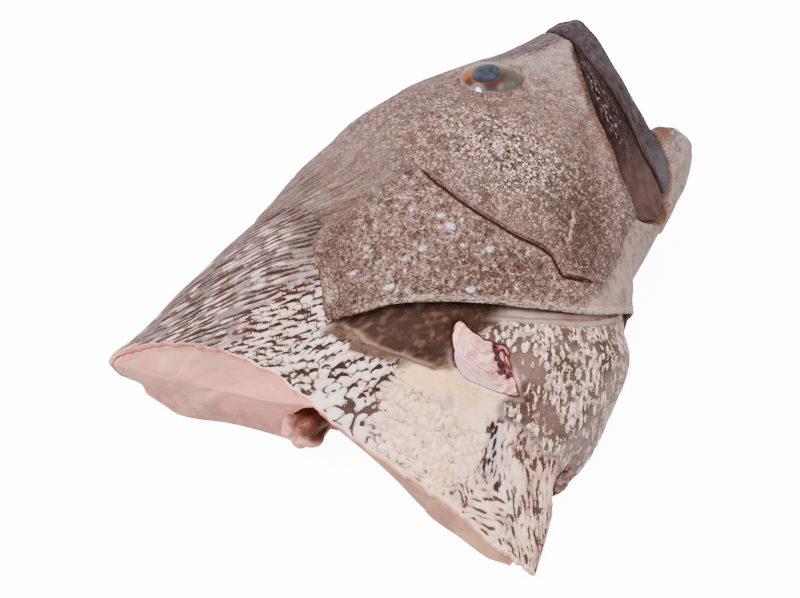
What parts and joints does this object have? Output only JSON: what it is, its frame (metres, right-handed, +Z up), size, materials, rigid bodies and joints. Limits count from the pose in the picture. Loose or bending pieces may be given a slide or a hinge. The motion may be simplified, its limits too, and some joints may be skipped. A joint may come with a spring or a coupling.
{
  "type": "raw fish head with collar",
  "caption": "Raw grouper head with its collar, cut off behind the gill covers and lying on its left side, mouth a little open, pink flesh and backbone at the cut.",
  "frame": {"origin": "centre of the bounding box in plan, on the surface it lies on", "axes": "+X towards the snout, along the fish; +Y towards the ridge of the back; +Z up, towards the fish's right side"},
  "size_m": [0.3032, 0.2138, 0.0998],
  "materials": {
    "skin": "wet mottled grey-brown skin with small pale scales",
    "lip": "dark purplish grey wet lip",
    "jaw_blade": "dark brown wet skin with pale streaks",
    "eye": "wet eye, amber ring and cloudy blue-grey pupil",
    "fin_root": "cut pink and white fibrous flesh",
    "pelvic_root": "dark red cut flesh",
    "flesh": "moist pale pink raw flesh with fine white lines",
    "backbone": "moist cut bone with red-brown edges",
    "belly_wall": "moist peach-tan cut flesh"
  },
  "bodies": {
    "root": {"face_and_jaws": "skin", "gill_covers_and_collar": "skin", "upper_lip": "lip", "maxilla_right": "jaw_blade", "maxilla_left": "jaw_blade", "eye_right": "eye", "eye_left": "eye", "fin_stump_right": "fin_root", "fin_stump_left": "fin_root", "pelvic_stump": "pelvic_root", "flesh": "flesh", "backbone": "backbone", "belly_wall": "belly_wall"}
  },
  "joints": []
}
